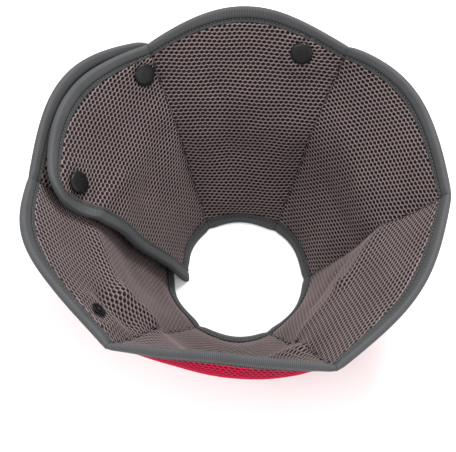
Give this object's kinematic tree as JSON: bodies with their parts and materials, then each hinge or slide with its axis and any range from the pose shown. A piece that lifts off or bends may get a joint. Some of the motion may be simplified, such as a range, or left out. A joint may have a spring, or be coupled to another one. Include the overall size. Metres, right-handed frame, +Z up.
{
  "type": "soft recovery cone",
  "caption": "Padded air-mesh recovery cone for a dog: panels sewn into a fan, bound with ribbed tape, lapped and snapped shut into a flared collar.",
  "frame": {"origin": "under the middle of the cone's bounding box, on the surface that its neck edge stands on", "axes": "+Z up along the cone's axis towards its mouth, +X to the right across the widest part of the mouth, +Y towards the back panel, whose rim is the highest"},
  "size_m": [0.3597, 0.3485, 0.1925],
  "materials": {
    "grey_air_mesh": "knitted spacer mesh with open cells, matte",
    "crimson_air_mesh": "knitted spacer mesh with open cells, matte",
    "binding_tape": "ribbed woven tape, matte",
    "black_plastic": "moulded, low sheen"
  },
  "bodies": {
    "root": {"end_tape_lap_inside": "binding_tape", "end_tape_lap_outside": "binding_tape", "inner_mesh_back": "grey_air_mesh", "inner_mesh_back_side": "grey_air_mesh", "inner_mesh_front": "grey_air_mesh", "inner_mesh_front_side": "grey_air_mesh", "inner_mesh_lap_inside": "grey_air_mesh", "inner_mesh_lap_outside": "grey_air_mesh", "inner_mesh_left_side": "grey_air_mesh", "neck_tape_back": "binding_tape", "neck_tape_back_side": "binding_tape", "neck_tape_front": "binding_tape", "neck_tape_front_side": "binding_tape", "neck_tape_lap_inside": "binding_tape", "neck_tape_lap_outside": "binding_tape", "neck_tape_left_side": "binding_tape", "outer_mesh_back": "crimson_air_mesh", "outer_mesh_back_side": "crimson_air_mesh", "outer_mesh_front": "crimson_air_mesh", "outer_mesh_front_side": "crimson_air_mesh", "outer_mesh_lap_inside": "crimson_air_mesh", "outer_mesh_lap_outside": "crimson_air_mesh", "outer_mesh_left_side": "crimson_air_mesh", "rim_tape_back": "binding_tape", "rim_tape_back_side": "binding_tape", "rim_tape_front": "binding_tape", "rim_tape_front_side": "binding_tape", "rim_tape_lap_inside": "binding_tape", "rim_tape_lap_outside": "binding_tape", "rim_tape_left_side": "binding_tape", "snap_cap_back": "black_plastic", "snap_cap_lap_inside_end": "black_plastic", "snap_cap_lap_inside_end_mate": "black_plastic", "snap_cap_lap_inside_seam": "black_plastic", "snap_cap_lap_inside_seam_mate": "black_plastic", "snap_cap_left_side": "black_plastic", "snap_socket_back": "black_plastic", "snap_socket_lap_inside_end": "black_plastic", "snap_socket_lap_inside_seam": "black_plastic", "snap_stud_lap_inside_end_mate": "black_plastic", "snap_stud_lap_inside_seam_mate": "black_plastic", "snap_stud_left_side": "black_plastic"}
  },
  "joints": []
}
